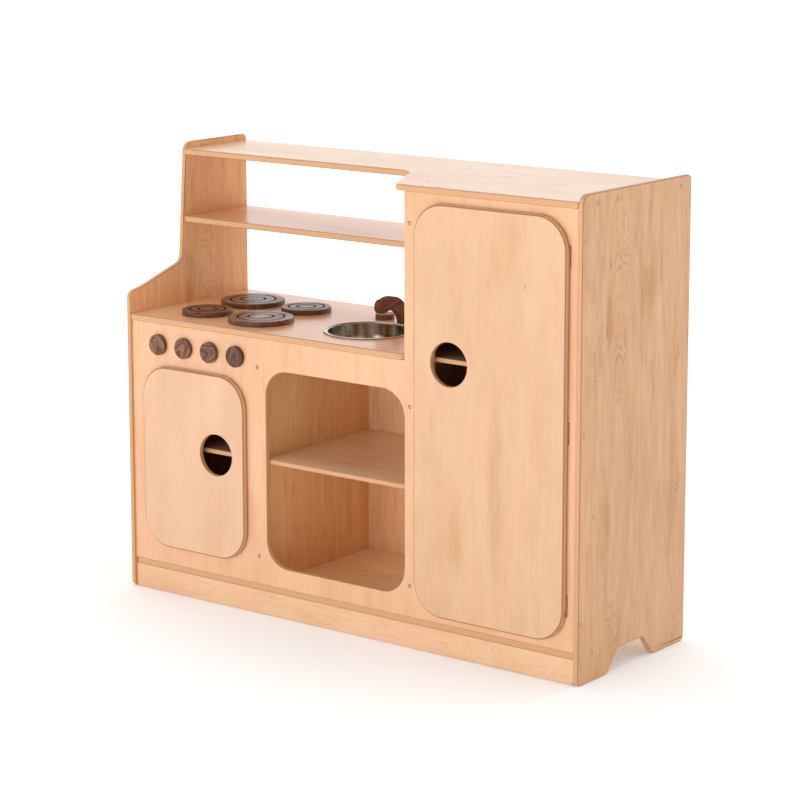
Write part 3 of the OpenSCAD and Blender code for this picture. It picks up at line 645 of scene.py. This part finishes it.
def camera():
    fwd = Vector((-math.sin(CAM_AZ) * math.cos(CAM_EL), math.cos(CAM_AZ) * math.cos(CAM_EL),
                  -math.sin(CAM_EL)))
    right = Vector((math.cos(CAM_AZ), math.sin(CAM_AZ), 0))
    up = right.cross(fwd)
    c, s = math.cos(CAM_ROLL), math.sin(CAM_ROLL)
    right, up = right * c + up * s, up * c - right * s
    data = bpy.data.cameras.new("camera")
    data.lens = LENS
    data.sensor_width = SENSOR
    data.shift_y = SHIFT_Y
    data.clip_end = 200
    cam = bpy.data.objects.new("camera", data)
    bpy.context.scene.collection.objects.link(cam)
    m = Matrix((right, up, -fwd)).transposed().to_4x4()
    m.translation = CAM_AT
    cam.matrix_world = m
    bpy.context.scene.camera = cam


def area(name, at, aim, size, power):
    """Soft rectangular light: metres and watts."""
    data = bpy.data.lights.new(name, "AREA")
    data.shape = "RECTANGLE"
    data.size, data.size_y = size
    data.energy = power
    light = bpy.data.objects.new(name, data)
    bpy.context.scene.collection.objects.link(light)
    light.location = at
    light.rotation_euler = (Vector(aim) - Vector(at)).to_track_quat("-Z", "Y").to_euler()
    return light


def world():
    """White studio: the camera sees plain white; light is a little weaker from the camera's side."""
    w = bpy.data.worlds.new("studio")
    bpy.context.scene.world = w
    w.use_nodes = True
    nt = w.node_tree
    nt.nodes.clear()

    def node(kind, **props):
        n = nt.nodes.new(kind)
        for k, v in props.items():
            setattr(n, k, v)
        return n

    out = node("ShaderNodeOutputWorld")
    seen = node("ShaderNodeBackground")
    seen.inputs[0].default_value = (1, 1, 1, 1)
    seen.inputs[1].default_value = 1.2
    coord = node("ShaderNodeTexCoord")
    split = node("ShaderNodeSeparateXYZ")
    span = node("ShaderNodeMapRange", interpolation_type="SMOOTHSTEP")
    for i, v in enumerate((-0.9, 0.25, WORLD_FRONT, WORLD_BACK), 1):
        span.inputs[i].default_value = v
    fill = node("ShaderNodeBackground")
    fill.inputs[0].default_value = (1, 1, 1, 1)
    path = node("ShaderNodeLightPath")
    mix = node("ShaderNodeMixShader")
    side = node("ShaderNodeMapRange", interpolation_type="SMOOTHSTEP")
    for i, v in enumerate((0.0, 0.9, 1.0, WORLD_RIGHT), 1):
        side.inputs[i].default_value = v
    both = node("ShaderNodeMath", operation="MULTIPLY")
    nt.links.new(coord.outputs["Generated"], split.inputs[0])
    nt.links.new(split.outputs[1], span.inputs[0])
    nt.links.new(split.outputs[0], side.inputs[0])
    nt.links.new(span.outputs[0], both.inputs[0])
    nt.links.new(side.outputs[0], both.inputs[1])
    nt.links.new(both.outputs[0], fill.inputs[1])
    nt.links.new(path.outputs["Is Camera Ray"], mix.inputs[0])
    nt.links.new(fill.outputs[0], mix.inputs[1])
    nt.links.new(seen.outputs[0], mix.inputs[2])
    nt.links.new(mix.outputs[0], out.inputs[0])


def floor():
    """Pale paper that glows a little more away from the object, so that it meets the white behind it."""
    bm = bmesh.new()
    bmesh.ops.create_grid(bm, x_segments=8, y_segments=8, size=60)
    mesh = bpy.data.meshes.new("floor")
    bm.to_mesh(mesh)
    bm.free()
    piece = bpy.data.objects.new("floor", mesh)
    bpy.context.scene.collection.objects.link(piece)
    t = Tree("floor_paper")
    coord = t.node("ShaderNodeTexCoord")
    tooth = t.noise(coord.outputs["Object"], 40.0, 2.0)
    far = t.vec("LENGTH", coord.outputs["Object"])
    paper = t.mix(t.span(tooth, 0.3, 0.7, 0.0, 0.3), srgb(FLOOR), srgb(FLOOR_TOOTH))
    glow = t.span(far, 1.0, 4.0, 0.15, 0.4)
    mat = t.surface(Base_Color=paper, Roughness=0.9, Emission_Color=(1, 1, 1, 1), Emission_Strength=glow)
    piece.data.materials.append(mat)


bpy.context.scene.view_settings.view_transform = "Standard"
bpy.context.scene.view_settings.look = "None"
camera()
world()
floor()
front_low = area("front_low", (0.2, -6.0, 1.1), (0, 0, 0.4), (4.5, 1.8), 114)
front_low.visible_glossy = False  # its reflection would bleach the level boards seen from behind
area("front_high", (-0.5, -5.6, 3.0), (0, 0, 0.4), (6.0, 3.6), 66)
area("above", (0.0, 0.5, 5.0), (0, 0, 0), (5.0, 5.0), 40)
